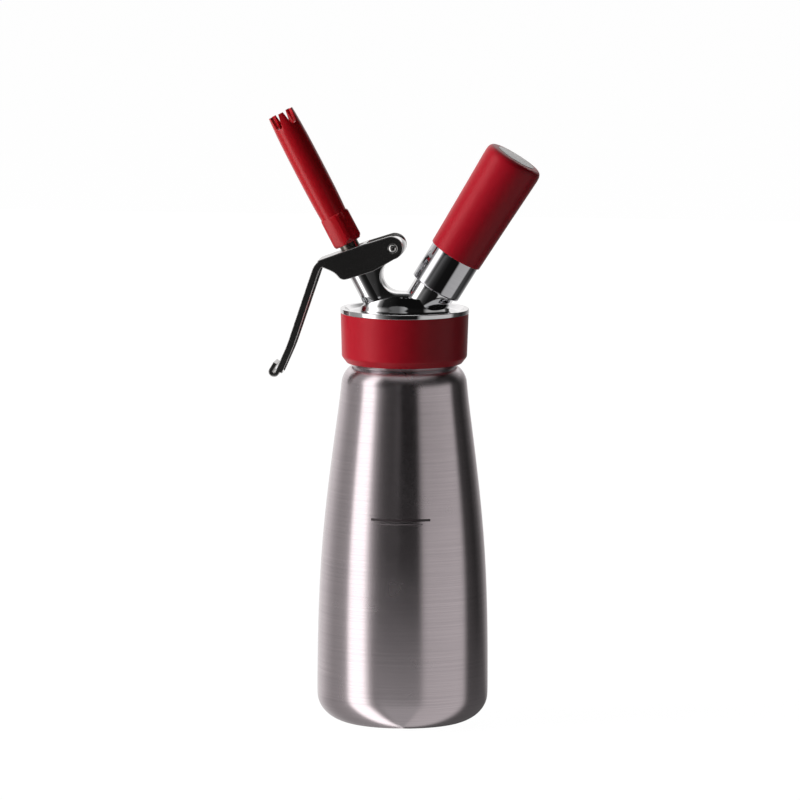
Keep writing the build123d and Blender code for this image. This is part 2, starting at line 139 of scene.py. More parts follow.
def turnPiece(name, profile, place=None, closed=True, steps=48, levels=2):
    # profile: radius, height and softness of each corner, from the outside in; 0 is a flowing point
    points = []
    for i, (radius, height, soft) in enumerate(profile):
        here = Vector((radius, height))
        isEnd = not closed and i in (0, len(profile) - 1)
        if soft and not isEnd:
            for other in (profile[i - 1], profile[(i + 1) % len(profile)]):
                way = Vector(other[:2]) - here
                points.append(here + way.normalized() * min(soft, way.length * 0.45))
                if other is profile[i - 1]:
                    points.append(here)
        else:
            points.append(here)
    if closed:
        points.append(points[0])
    grow = 6 / (4 + 2 * math.cos(math.tau / steps))    # the smoothing draws rings in by this much
    deselectAll()
    last = points[0]
    radius = max(last.x, 0.02) * grow
    bpy.ops.mesh.primitive_circle_add(vertices=steps, radius=radius * mm, location=(0, 0, last.y * mm))
    piece = bpy.context.object
    piece.name = name
    settle(piece)
    bpy.ops.object.mode_set(mode='EDIT')
    bpy.ops.mesh.select_all(action='SELECT')
    for point in points[1:]:
        newRadius = max(point.x, 0.02) * grow
        bpy.ops.mesh.extrude_region_move(
            TRANSFORM_OT_translate={"value": (0, 0, (point.y - last.y) * mm)})
        share = newRadius / radius
        bpy.ops.transform.resize(value=(share, share, 1), center_override=(0, 0, point.y * mm))
        last = point
        radius = newRadius
    faceOutwards()
    if not closed:
        closeHoles()
    bpy.ops.object.mode_set(mode='OBJECT')
    addModifier(piece, 'SUBSURF', levels=levels, render_levels=levels)
    bpy.ops.object.shade_smooth()
    if place is not None:
        settle(piece, place)
    return piece


def arcPoints(x, z, radius, start, end, steps):    # along a circle, angles in degrees from +X
    points = []
    for step in range(steps + 1):
        turn = math.radians(start + (end - start) * step / steps)
        points.append((x + radius * math.cos(turn), z + radius * math.sin(turn)))
    return points


def roundedPath(points, radii):    # a line whose corners are replaced by arcs
    steps = 8
    path = [Vector(points[0])]
    for i in range(1, len(points) - 1):
        corner = Vector(points[i])
        back = (Vector(points[i - 1]) - corner).normalized()
        ahead = (Vector(points[i + 1]) - corner).normalized()
        half = math.acos(back.dot(ahead)) / 2
        radius = radii[i - 1]
        centre = corner + (back + ahead).normalized() * radius / math.sin(half)
        start = corner + back * radius / math.tan(half) - centre
        sweep = math.pi - 2 * half
        if back.x * ahead.y - back.y * ahead.x > 0:
            sweep = -sweep
        for step in range(steps + 1):
            turn = sweep * step / steps
            path.append(centre + Vector((start.x * math.cos(turn) - start.y * math.sin(turn),
                                         start.x * math.sin(turn) + start.y * math.cos(turn))))
    path.append(Vector(points[-1]))
    return path


def ribbon(path, outer, inner):    # closed outline between two distances on the inner side of a line
    sides = [[], []]
    for i, point in enumerate(path):
        way = path[min(i + 1, len(path) - 1)] - path[max(i - 1, 0)]
        square = Vector((-way.y, way.x)).normalized()
        for side, distance in zip(sides, (outer, inner)):
            spot = point + square * distance
            side.append((spot.x, spot.y))
    return sides[0] + sides[1][::-1]


def drawOutline(name, points):    # a face with these x and z corners, drawn edge by edge
    deselectAll()
    x, z = points[0]
    bpy.ops.mesh.primitive_plane_add(size=mm, location=(x * mm, 0, z * mm))
    piece = bpy.context.object
    piece.name = name
    settle(piece)
    bpy.ops.object.mode_set(mode='EDIT')
    bpy.ops.mesh.select_all(action='SELECT')
    bpy.ops.mesh.merge(type='CENTER')
    for nextX, nextZ in points[1:]:
        bpy.ops.mesh.extrude_vertices_move(
            TRANSFORM_OT_translate={"value": ((nextX - x) * mm, 0, (nextZ - z) * mm)})
        x, z = nextX, nextZ
    bpy.ops.mesh.select_all(action='SELECT')
    bpy.ops.mesh.edge_face_add()
    return piece


def roundCorner(piece, x, z, reach):    # in edit mode, on a flat outline
    bpy.ops.object.mode_set(mode='OBJECT')
    for part in (piece.data.vertices, piece.data.edges, piece.data.polygons):
        for item in part:
            item.select = False
    spot = Vector((x * mm, 0, z * mm))
    for vertex in piece.data.vertices:
        vertex.select = (Vector((vertex.co.x, 0, vertex.co.z)) - spot).length < 0.00001
    bpy.ops.object.mode_set(mode='EDIT')
    bpy.ops.mesh.select_mode(type='VERT')
    bpy.ops.mesh.bevel(offset=reach * mm, segments=6, affect='VERTICES')


def thicken(piece, low, high):    # from an outline in edit mode to a solid between two y values
    bpy.ops.mesh.select_all(action='SELECT')
    bpy.ops.transform.translate(value=(0, low * mm, 0))
    bpy.ops.mesh.extrude_region_move(TRANSFORM_OT_translate={"value": (0, (high - low) * mm, 0)})
    faceOutwards()
    bpy.ops.object.mode_set(mode='OBJECT')
    return piece


def softenRims(piece, reach):    # rounds the edges of a prism's two flat sides
    activate(piece)
    bpy.ops.object.mode_set(mode='EDIT')
    bpy.ops.mesh.select_mode(type='FACE')
    bpy.ops.mesh.select_all(action='DESELECT')
    bpy.ops.object.mode_set(mode='OBJECT')
    ends = [polygon.center.y for polygon in piece.data.polygons]
    for polygon in piece.data.polygons:
        polygon.select = min(polygon.center.y - min(ends), max(ends) - polygon.center.y) < 0.00001
    bpy.ops.object.mode_set(mode='EDIT')
    bpy.ops.mesh.region_to_loop()
    bpy.ops.mesh.bevel(offset=reach * mm, segments=3, affect='EDGES')
    bpy.ops.mesh.select_mode(type='VERT')
    bpy.ops.object.mode_set(mode='OBJECT')
    return piece


def addBar(name, radius, low, high, place=None, sides=64):
    deselectAll()
    bpy.ops.mesh.primitive_cylinder_add(vertices=sides, radius=radius * mm, depth=(high - low) * mm,
                                        location=(0, 0, (high + low) / 2 * mm))
    bar = bpy.context.object
    bar.name = name
    settle(bar, place)
    return bar


def addBlock(name, low, high, place=None):
    deselectAll()
    size = [(b - a) * mm for a, b in zip(low, high)]
    middle = [(a + b) / 2 * mm for a, b in zip(low, high)]
    bpy.ops.mesh.primitive_cube_add(size=1, location=middle, scale=size)
    block = bpy.context.object
    block.name = name
    settle(block, place)
    return block


def wind(piece, angle, rise, iterations, steps):    # from an outline in edit mode to a closed helix round Z
    bpy.ops.mesh.select_all(action='SELECT')
    bpy.ops.mesh.delete(type='ONLY_FACE')
    bpy.ops.object.mode_set(mode='OBJECT')
    addModifier(piece, 'SCREW', axis='Z', angle=angle, screw_offset=rise * mm, iterations=iterations,
                steps=steps, render_steps=steps)
    bpy.ops.object.mode_set(mode='EDIT')
    closeHoles()
    bpy.ops.object.mode_set(mode='OBJECT')


def addThread(name, radius, low, turns, pitch, rise, place=None):
    # a helical ridge on a turned neck: its foot takes 0.7 of the pitch and its crest 0.2
    thread = drawOutline(name, [(radius - 0.3, low), (radius - 0.3, low + pitch * 0.7),
                                (radius + rise, low + pitch * 0.45), (radius + rise, low + pitch * 0.25)])
    wind(thread, math.tau, pitch, turns, 48)
    shadeByAngle(thread, 35)
    settle(thread, place)
    return thread


# ---- bottle

bottle = {
    "wall": 1.0,
    "neckRadius": 24.6,
    "neckFoot": 171.3,
    "rim": 190.0,
    "threadPitch": 3.5,
    "threadTurns": 3,
    "threadRise": 0.6,
    "threadFoot": 174.4,
    "flat": 23.0,    # radius at which the base starts to rise
    "foot": (17.74, 13.9),    # how wide and how high the round between base and wall is
    "footInside": (16.8, 12.95),
}


def footRound(wide, high, count):    # quarter of an oval, from the base up to the wall
    points = []
    for step in range(count + 1):
        turn = math.radians(-90 + step * 90 / count)
        points.append((bottle["flat"] + wide * math.cos(turn), bottle["foot"][1] + high * math.sin(turn)))
    return points


def makeBottle():
    wall, neck, rim = bottle["wall"], bottle["neckRadius"], bottle["rim"]
    outer = footRound(*bottle["foot"], 8) + [
        (40.74, 20), (40.72, 28), (40.6, 44), (40.05, 64), (39.0, 84), (37.2, 104), (34.9, 124), (32.3, 144),
        (30.95, 154), (30.2, 161), (29.95, 163.8), (29.65, 165.5), (29.0, 167.2), (28.1, 168.75),
        (26.95, 170.15), (25.5, 171.3)]
    inner = [(r - wall, z - 0.2) for r, z in outer if 15 < z < 169]
    profile = [(0, 0, 0), (12, 0, 0)] + [(r, z, 0) for r, z in outer]
    profile += [(neck, bottle["neckFoot"] + 0.8, 0.5), (neck, rim, 0.3), (neck - wall, rim, 0.3),
                (neck - wall, 173.0, 0)]
    profile += [(r, z, 0) for r, z in reversed(footRound(*bottle["footInside"], 4) + inner)]
    profile += [(12, wall, 0), (0, wall, 0)]
    return turnPiece("bottleShell", profile, closed=False, steps=56)


bottleShell = makeBottle()
neckThread = addThread("neckThread", bottle["neckRadius"], bottle["threadFoot"], bottle["threadTurns"],
                       bottle["threadPitch"], bottle["threadRise"])
print("bottle made")


# ---- head casting: disc with its lip, and the web with arm and boss

head = {
    "lipRadius": 30.7,
    "lipTop": 6.4,
    "lipFoot": 4.2,
    "skirt": 19.2,       # its length below the seat, then its bore and its radius
    "skirtBore": 25.35,
    "skirtRadius": 27.0,
    "dishFloor": 4.4,
    "hubTop": 12.4,
    "hubArch": 42.0,
    "hubRound": 0.9,
    "hubDepth": 0.58,    # across the web, as a share of its length
    "notchX": -2.9,
    "notchZ": 22.1,
    "notchRadius": 8.1,
    "saddle": 5.8,       # flat run from the notch towards the boss
    "saddleRise": 11.7,    # radius of the round that lifts the web to the boss
    "webHalf": 6.7,
    "earRadius": 5.0,
    "rimRound": 0.5,
    "armRadius": 6.9,
    "armTop": 46.0,
    "guideBore": 3.86,
    "springBore": 5.46,
    "springFloor": 38.5,
    "bossRadius": 10.5,
    "bossShoulder": 30.2,
    "bossTop": 40.0,
    "spigotRadius": 9.7,
    "insertBore": 4.66,
    "pinBore": 2.08,
}
turnAcross = Matrix.Rotation(math.radians(90), 4, 'X')    # lays a bar's axis along Y


def makeHeadDisc():
    skirt, foot, top, floor = head["skirt"], head["lipFoot"], head["lipTop"], head["dishFloor"]
    bore, wide, lip = head["skirtBore"], head["skirtRadius"], head["lipRadius"]
    disc = turnPiece("headDisc", [
        (0, 2.0, 0), (8, 1.8, 0), (14, 1.2, 0), (20.0, 0, 0.4), (bore, 0, 0.3), (bore, -skirt, 0.3),
        (wide, -skirt, 0.3), (wide, foot, 0.3), (lip, foot, 0.3), (lip, top, 0.7), (28.7, top, 0.4),
        (26.4, floor, 1.0), (0, floor, 0)], closed=False, steps=64)
    hub = turnPiece("hub", [
        (0, 2.5, 0), (20.6, 2.5, 0.3), (22.4, floor - 0.2, 0.4), (21.75, floor + 0.7, 0), (21.4, 7.0, 0),
        (20.7, 9.2, 0), (19.6, 11.4, 0), (18.2, 13.4, 0.3), (0, 13.4, 0)], closed=False, steps=64)
    hub.scale = (1, head["hubDepth"], 1)
    settle(hub)
    arch = arcPoints(0, head["hubTop"] - head["hubArch"], head["hubArch"], 90 + 30.8, 90 - 30.8, 40)
    cutWith(hub, thicken(drawOutline("above", arch + [(21.5, 20), (-21.5, 20)]), -20, 20))
    for part in (disc, hub):
        settle(part, headPlace)
        cutWith(part, addBar("guideBore", head["guideBore"], 0, 60, valvePlace))
        cutWith(part, addBar("insertBore", head["insertBore"], 22, 45, chargerPlace))
    shadeByAngle(disc, 40)
    roundEdges(hub, head["hubRound"], 4, 40)
    return joinAll("headDisc", [disc, hub])


def makeHeadWeb():
    x, z, radius, rise = head["notchX"], head["notchZ"], head["notchRadius"], head["saddleRise"]
    guide, pocket, pocketFloor = head["guideBore"], head["springBore"], head["springFloor"]
    insert, shoulder, spigot = head["insertBore"], head["bossShoulder"], head["spigotRadius"]
    shape = arcPoints(x, z, radius, 112, 270, 60)
    shape += arcPoints(x + head["saddle"], z - radius + rise, rise, -90, -40, 12)
    shape += [(15.5, 8.0), (-11.2, 8.0), (-22.3, 25.4), (-15.7, 28.9)]
    shape += arcPoints(pinX, pinZ - seatHeight, head["earRadius"], 150, -52, 40)
    web = thicken(drawOutline("headWeb", shape), -head["webHalf"], head["webHalf"])
    softenRims(web, head["rimRound"])
    settle(web, headPlace)
    cutWith(web, addBar("guideBore", guide, 0, 60, valvePlace))
    cutWith(web, addBar("springPocket", pocket, pocketFloor, 50, valvePlace))
    cutWith(web, addBar("pinBore", head["pinBore"], -10, 10, pinPlace @ turnAcross))
    cutWith(web, addBar("insertBore", insert, 22, 45, chargerPlace))
    shadeByAngle(web, 35)
    arm = turnPiece("arm", [
        (guide, 22, 0.2), (head["armRadius"], 22, 0.2), (head["armRadius"] - 0.05, head["armTop"], 0.5),
        (pocket, head["armTop"], 0.3), (pocket, pocketFloor, 0.2), (guide, pocketFloor, 0.2)],
        valvePlace, steps=64)
    boss = turnPiece("boss", [
        (insert, 10.3, 0.2), (head["bossRadius"], 10.3, 0.2), (head["bossRadius"], shoulder, 0.5),
        (spigot, shoulder, 0.2), (spigot, head["bossTop"], 0.5), (6.16, head["bossTop"], 0.3),
        (6.16, 29.0, 0.2), (insert, 29.0, 0.2)], chargerPlace, steps=64)
    return joinAll("headWeb", [web, arm, boss])


headDisc = makeHeadDisc()
headWeb = makeHeadWeb()
spigotThread = addThread("spigotThread", head["spigotRadius"], 31.6, 5, 1.5, 0.45, chargerPlace)
print("head made")


# ---- collar sleeve

collar = {
    "topRadius": 30.5,
    "bottomRadius": 29.9,
    "bore": 27.05,
    "foot": -19.7,    # from the head's seat
    "top": 4.12,
}


def makeCollar():
    bore, foot, top, wide = collar["bore"], collar["foot"], collar["top"], collar["topRadius"]
    return turnPiece("collarSkin", [
        (bore, foot, 0.2), (27.5, foot, 0.2), (collar["bottomRadius"], -16.6, 0.9), (30.15, -8, 0),
        (wide, 3.0, 0), (wide, top, 0.35), (bore, top, 0.3)], headPlace, steps=56)


collarSkin = makeCollar()
print("collar made")


# ---- lever: two cheeks, top plate and tail, in its own frame with the pin at the origin

lever = {
    "half": 9.2,
    "sheet": 2.0,
    "plateTop": 6.65,
    "tailDepth": 3.2,    # over the edges turned towards the bottle
    "tailEndHalf": 6.5,
    "tailFoot": 65.2,      # below the pin
    "taperStart": 12.0,
    "tailCorner": 3.5,
    "rim": 1.5,            # width of the turned edges
    "ear": (-0.6, 0.45, 5.6),    # middle and radius
    "slot": (-19.3, 0.8, 5.3),    # middle, half run and half width of the hole for the valve
    "pinHole": 2.11,
    "grain": 0.3,
    "softening": 4,
}


def tailPlan(margin):    # block with the tapered outline seen from the tail's side
    wide = lever["half"] - margin
    end = lever["tailEndHalf"] - margin
    top, taper, foot = pinZ + 21.5, pinZ - lever["taperStart"], pinZ - lever["tailFoot"] + margin
    over = wide + 0.2 if margin == 0 else wide    # clears the plain sides
    plan = drawOutline("plan", [(-over, top), (-over, taper), (-end, foot), (end, foot), (over, taper),
                                (over, top)])
    for corner in (-end, end):
        roundCorner(plan, corner, foot, lever["tailCorner"])
    thicken(plan, -20, 100)
    settle(plan, Matrix.Rotation(math.radians(90), 4, 'Z'))
    return plan


def makeStrip(name, path, outer, inner, half, margin):    # along the tail, trimmed to its tapered outline
    strip = thicken(drawOutline(name, ribbon(path, outer, inner)), -half, half)
    settle(strip, leverPlace)
    cutWith(strip, tailPlan(margin), 'INTERSECT')
    return strip


def makeTail():
    half, sheet, depth = lever["half"], lever["sheet"], lever["tailDepth"]
    middle = lever["plateTop"] - sheet / 2
    corners = [(-28.0, middle), (-36.8, middle), (-63.3, -27.0)]
    bends = [8.0, 60.0]
    curl = roundedPath(corners + [(-74.7, -38.7), (-76.8, -36.1), (-72.5, -32.7)], bends + [1.45, 1.45])
    tail = makeStrip("tail", curl, -sheet / 2, sheet / 2, half, 0)
    run = roundedPath(corners + [(-72.9, -36.9)], bends)
    edges = makeStrip("edges", run, -0.4 * sheet, depth - sheet / 2, half, 0)
    cutWith(edges, makeStrip("hollow", run, sheet / 2, depth + 1, half + 1, lever["rim"]))
    return [tail, edges]


def makeLever():
    half, sheet, top = lever["half"], lever["sheet"], lever["plateTop"]
    corners = [(-31.9, 0.2, 1.4), (-29.9, -2.0, 1.6), (-28.6, -6.1, 2.0)]    # the last value rounds them
    shape = [(-12.0, top - 0.1), (-30.5, top), (-35.3, 4.65), (-34.9, 2.9)]
    shape += [corner[:2] for corner in corners]
    shape += [(-24.0, -6.6), (-12.5, -7.1), (-6.0, -6.0)] + arcPoints(*lever["ear"], -95, 90, 40)
    parts = []
    for side in (-1, 1):
        cheek = drawOutline("cheek", shape)
        for corner in reversed(corners):
            roundCorner(cheek, *corner)
        thicken(cheek, *sorted((side * half, side * (half - sheet))))
        cutWith(cheek, addBar("pinHole", lever["pinHole"], -20, 20, turnAcross))
        parts.append(cheek)
    plate = addBlock("plate", (-36, -half, top - sheet), (-11.4, half, top))
    middle, run, wide = lever["slot"]
    slotPlace = Matrix.Translation((middle * mm, 0, top * mm))
    cutWith(plate, addBlock("slot", (-run, -wide, -5), (run, wide, 5), slotPlace))
    for shift in (-run, run):
        cutWith(plate, addBar("slotEnd", wide, -5, 5, Matrix.Translation((shift * mm, 0, 0)) @ slotPlace))
    parts.append(plate)
    for part in parts:
        settle(part, leverPlace)
    piece = joinAll("leverSkin", parts + makeTail())
    return melt(piece, lever["grain"], lever["softening"])


def makePin():
    dome = [(0, 9.8, 0), (0.9, 9.72, 0), (1.55, 9.45, 0), (1.85, 9.15, 0), (2.05, 8.4, 0.3)]
    profile = [(radius, -height, soft) for radius, height, soft in dome] + dome[::-1]
    return turnPiece("pinSkin", profile, pinPlace @ turnAcross, closed=False, steps=24)


leverSkin = makeLever()
pinSkin = makePin()
print("lever made")


# ---- stem nut, spring and decorator tip, along the valve's axis

tip = {
    "low": 58.1,
    "top": 128.1,
    "gripTop": 73.3,
    "flatHalf": 6.45,     # from the axis to a flat of the grip
    "teeth": 5,
    "gap": 5.3,           # at the end
    "gapFoot": 3.2,
    "gapDepth": 7.0,
    "gapRound": 1.3,
    "toothTurn": -28.0,   # degrees of the first gap from the front
    "socket": 5.0,
    "rimRound": 0.22,
}
spring = {
    "foot": 38.6,
    "radius": 4.6,
    "wire": 0.5,
    "turns": 4.2,
    "rise": 10.5,
    "keep": 0.78,    # of its length with the valve pressed
}


def makeNut():
    return turnPiece("nutSkin", [
        (3.05, 50.2, 0.2), (6.2, 50.2, 0.3), (6.2, 52.8, 0.3), (4.6, 52.8, 0.3), (4.6, 58.3, 0.3),
        (4.25, 58.3, 0.2), (4.25, 65.7, 0.5), (1.95, 65.7, 0.3), (1.95, 57.2, 0.2), (3.05, 57.2, 0.2)],
        valvePlace)


def makeSpring():
    radius, wire = spring["radius"], spring["wire"]
    middle = spring["foot"] + wire
    corners = [(radius - wire, middle), (radius, middle - wire), (radius + wire, middle),
               (radius, middle + wire)]
    coil = drawOutline("springCoil", corners)
    for x, z in corners:
        roundCorner(coil, x, z, wire / 2)
    wind(coil, math.tau * spring["turns"], spring["rise"], 1, 150)
    bpy.ops.object.shade_smooth()
    settle(coil, valvePlace)
    return coil


def makeTip():
    low, top, gripTop, teeth, socket = tip["low"], tip["top"], tip["gripTop"], tip["teeth"], tip["socket"]
    tube = turnPiece("tipSkin", [
        (socket, low + 1, 0.2), (5.9, low + 1, 0.3), (6.5, gripTop, 0), (6.85, 80, 0), (7.0, 92, 0),
        (7.0, 108, 0), (6.8, 119, 0), (6.3, top, 0.25), (4.6, top, 0.25), (4.6, 112, 0), (3.2, 80, 0),
        (3.2, 67.6, 0.2), (socket, 67.6, 0.2)], steps=64, levels=1)
    deselectAll()
    bpy.ops.mesh.primitive_cylinder_add(
        vertices=teeth, radius=tip["flatHalf"] / math.cos(math.pi / teeth) * mm, depth=(gripTop - low) * mm,
        location=(0, 0, (gripTop + low) / 2 * mm), rotation=(0, 0, math.radians(-90)))
    grip = bpy.context.object
    settle(grip)
    drum = turnPiece("drum", [(0, low, 0), (6.3, low, 0.3), (7.4, low + 1.6, 0.8), (7.3, gripTop - 1.0, 0.5),
                              (6.9, gripTop - 0.1, 0.2), (0, gripTop - 0.1, 0)], closed=False, steps=64)
    cutWith(grip, drum, 'INTERSECT')
    cutWith(grip, addBar("socket", socket, low - 1, gripTop + 1, sides=96))
    bottom = top - tip["gapDepth"]
    wide, narrow = tip["gap"] / 2, tip["gapFoot"] / 2
    for tooth in range(teeth):
        gap = drawOutline("gap", [(-narrow, bottom), (-wide, top + 0.2), (wide, top + 0.2),
                                  (narrow, bottom)])
        for corner in (-narrow, narrow):
            roundCorner(gap, corner, bottom, tip["gapRound"])
        thicken(gap, -9, 0)
        settle(gap, Matrix.Rotation(math.radians(tip["toothTurn"] + tooth * 360 / teeth), 4, 'Z'))
        cutWith(tube, gap)
    for part in (tube, grip):
        roundEdges(part, tip["rimRound"], 3, 34)
    piece = joinAll("tipSkin", [tube, grip])
    settle(piece, valvePlace)
    return piece


nutSkin = makeNut()
springCoil = makeSpring()
tipSkin = makeTip()
print("valve pieces made")


# ---- charger holder, along its axis

holder = {
    "sleeveRadius": 12.4,
    "gripFoot": 48.9,
    "gripTop": 104.05,
    "gripFootRadius": 13.1,
    "gripTopRadius": 14.5,
    "gripBore": 10.95,
    "capSeat": 102.0,
    "capRadius": 9.7,
}


def makeHolderSleeve():
    radius = holder["sleeveRadius"]
    shown = holder["gripFoot"] - 0.05
    return turnPiece("sleeveSkin", [
        (10.45, 30.5, 0.3), (radius, 30.5, 0.4), (radius, shown, 0.2), (10.9, shown, 0.3),
        (10.9, 101.9, 0.4), (0, 101.9, 0), (0, 100.3, 0), (9.35, 100.3, 0.4), (9.35, 40.3, 0.3),
        (10.45, 40.3, 0.2)],
        chargerPlace, steps=56)


def makeHolderGrip():
    top, foot, bore, seat = holder["gripTop"], holder["gripFoot"], holder["gripBore"], holder["capSeat"]
    wide, hole = holder["gripTopRadius"], holder["capRadius"] + 0.05
    return turnPiece("gripSkin", [
        (bore, foot, 0.3), (holder["gripFootRadius"], foot, 0.5), (13.35, 60, 0), (13.85, 80, 0),
        (wide - 0.15, 96, 0), (wide - 0.05, 100.2, 0), (wide - 0.25, 101.9, 0), (wide - 0.9, 103.2, 0),
        (wide - 1.9, 103.85, 0), (wide - 3.2, top, 0), (hole, top, 0.2), (hole, seat, 0.3),
        (bore, seat, 0.3)],
        chargerPlace, steps=56)


def makeHolderCap():
    wide, top, seat = holder["capRadius"], holder["gripTop"] + 0.2, holder["capSeat"]
    return turnPiece("capSkin", [(0, seat, 0), (wide, seat, 0.3), (wide, top, 0.4), (5.5, top + 0.3, 0),
                                 (2, top + 0.48, 0), (0, top + 0.5, 0)], chargerPlace, closed=False)


sleeveSkin = makeHolderSleeve()
gripSkin = makeHolderGrip()
capSkin = makeHolderCap()
print("charger holder made")


# ---- shared effects: masks and heights that the materials use

def addNode(tree, kind, x, y, inputs=None, **values):    # inputs take other nodes' outputs or plain values
    node = tree.nodes.new(kind)
    node.location = (x, y)
    for key, value in values.items():
        setattr(node, key, value)
    for key, value in (inputs or {}).items():
        if isinstance(value, bpy.types.NodeSocket):
            tree.links.new(value, node.inputs[key])
        else:
            node.inputs[key].default_value = value
    return node


def addMath(tree, operation, x, y, *values, kind='ShaderNodeMath'):
    return addNode(tree, kind, x, y, dict(enumerate(values)), operation=operation).outputs[0]


def addRange(tree, source, given, wanted, x, y, clamp=True):    # stretches one span of values to another
    spans = {"From Min": given[0], "From Max": given[1], "To Min": wanted[0], "To Max": wanted[1]}
    return addNode(tree, 'ShaderNodeMapRange', x, y, {"Value": source, **spans}, clamp=clamp).outputs[0]


def blendColours(tree, mask, first, second, x, y):
    first, second = [colour if isinstance(colour, bpy.types.NodeSocket) else (*colour, 1)
                     for colour in (first, second)]
    node = addNode(tree, 'ShaderNodeMix', x, y, {0: mask, 6: first, 7: second}, data_type='RGBA')
    return node.outputs[2]


def makeGroup(name, inputs, outputs):
    group = bpy.data.node_groups.new(name, 'ShaderNodeTree')
    for label, kind, start in inputs:
        socket = group.interface.new_socket(label, in_out='INPUT', socket_type=kind)
        if start is not None:
            socket.default_value = start
    for label, kind in outputs:
        group.interface.new_socket(label, in_out='OUTPUT', socket_type=kind)
    return group, addNode(group, 'NodeGroupInput', -800, 0), addNode(group, 'NodeGroupOutput', 500, 0)


def makeBrushLines():    # fine drawn lines, crossed by slow cloudiness
    group, start, end = makeGroup(
        "brushLines", [("Vector", 'NodeSocketVector', None), ("Across", 'NodeSocketFloat', 2500.0),
                       ("Along", 'NodeSocketFloat', 12.0), ("Clouds", 'NodeSocketFloat', 30.0)],
        [("Lines", 'NodeSocketFloat'), ("Clouds", 'NodeSocketFloat')])
    vector, along, across = [start.outputs[label] for label in ("Vector", "Along", "Across")]
    scales = addNode(group, 'ShaderNodeCombineXYZ', -600, 100, {0: along, 1: along, 2: across})
    stretched = addMath(group, 'MULTIPLY', -400, 100, vector, scales.outputs[0], kind='ShaderNodeVectorMath')
    fine = addNode(group, 'ShaderNodeTexNoise', -200, 150,
                   {"Vector": stretched, "Scale": 1.0, "Detail": 4.0, "Roughness": 0.7})
    cloud = addNode(group, 'ShaderNodeTexNoise', -200, -150,
                    {"Vector": vector, "Scale": start.outputs["Clouds"], "Detail": 3.0})
    group.links.new(fine.outputs["Fac"], end.inputs["Lines"])
    group.links.new(cloud.outputs["Fac"], end.inputs["Clouds"])
    return group


def addFade(tree, source, x, y, positions, colours=(0, 1)):    # a ramp between two greys
    ramp = addNode(tree, 'ShaderNodeValToRGB', x, y, {"Fac": source})
    for stop, position, grey in zip(ramp.color_ramp.elements, positions, colours):
        stop.position = position
        stop.color = (grey, grey, grey, 1)
    return ramp.outputs["Color"]


def makeHandling():    # faint wipe marks and specks of dust
    group, start, end = makeGroup(
        "handling", [("Vector", 'NodeSocketVector', None), ("Marks", 'NodeSocketFloat', 60.0),
                     ("Specks", 'NodeSocketFloat', 900.0)],
        [("Marks", 'NodeSocketFloat'), ("Specks", 'NodeSocketFloat')])
    vector = start.outputs["Vector"]
    marks = addNode(group, 'ShaderNodeTexNoise', -400, 150,
                    {"Vector": vector, "Scale": start.outputs["Marks"], "Detail": 5.0, "Distortion": 1.2})
    specks = addNode(group, 'ShaderNodeTexVoronoi', -400, -150,
                     {"Vector": vector, "Scale": start.outputs["Specks"]})
    group.links.new(addFade(group, marks.outputs["Fac"], -200, 150, (0.45, 0.75)), end.inputs["Marks"])
    group.links.new(addFade(group, specks.outputs["Distance"], -200, -150, (0.05, 0.16), (1, 0)),
                    end.inputs["Specks"])
    return group


brushLines = makeBrushLines()
handling = makeHandling()


# ---- materials

def startMaterial(name, place=None):
    material = bpy.data.materials.new(name)
    material.use_nodes = True
    tree = material.node_tree
    coordinates = addNode(tree, 'ShaderNodeTexCoord', -1400, 0)
    mapping = addNode(tree, 'ShaderNodeMapping', -1200, 0, {"Vector": coordinates.outputs["Object"]})
    if place is not None:    # the pattern's own axis along Z
        turn = place.inverted()
        mapping.inputs["Location"].default_value = turn.to_translation()
        mapping.inputs["Rotation"].default_value = turn.to_euler()
    return material, tree, tree.nodes["Principled BSDF"], mapping.outputs[0]


def addGroup(tree, group, vector, x, y, **values):
    return addNode(tree, 'ShaderNodeGroup', x, y, {"Vector": vector, **values}, node_tree=group)


def addShine(tree, shader, clouds, marks, smooth, rough, share):    # rougher in the clouds and the wipe marks
    plain = addRange(tree, clouds, (0, 1), (smooth, rough), -650, -150)
    shine = addMath(tree, 'MULTIPLY_ADD', -450, -150, marks, (rough - smooth) * share, plain)
    tree.links.new(shine, shader.inputs["Roughness"])


def addBump(tree, source, shader, strength):
    bump = addNode(tree, 'ShaderNodeBump', -250, -350,
                   {"Height": source, "Strength": strength, "Distance": 0.0001})
    tree.links.new(bump.outputs[0], shader.inputs["Normal"])


def makeMetal(name, dark, light, smooth, rough, across=2500.0, along=12.0, bump=0.05, place=None,
              stretch=0.0):
    material, tree, shader, vector = startMaterial(name, place)
    lines = addGroup(tree, brushLines, vector, -900, 100, Across=across, Along=along)
    marks = addGroup(tree, handling, vector, -900, -250)
    tone = addRange(tree, lines.outputs["Lines"], (0, 1), (-0.4, 1.4), -650, 250)
    tree.links.new(blendColours(tree, tone, dark, light, -400, 250), shader.inputs["Base Color"])
    addShine(tree, shader, lines.outputs["Clouds"], marks.outputs["Marks"], smooth, rough, 0.35)
    shader.inputs["Metallic"].default_value = 1.0
    if stretch:    # gloss drawn out along the axis, across the brushed lines
        shader.inputs["Anisotropic"].default_value = stretch
        shader.inputs["Anisotropic Rotation"].default_value = 0.25
        tangent = addNode(tree, 'ShaderNodeTangent', -450, -450, direction_type='RADIAL', axis='Z')
        tree.links.new(tangent.outputs[0], shader.inputs["Tangent"])
    addBump(tree, lines.outputs["Lines"], shader, bump)
    return material


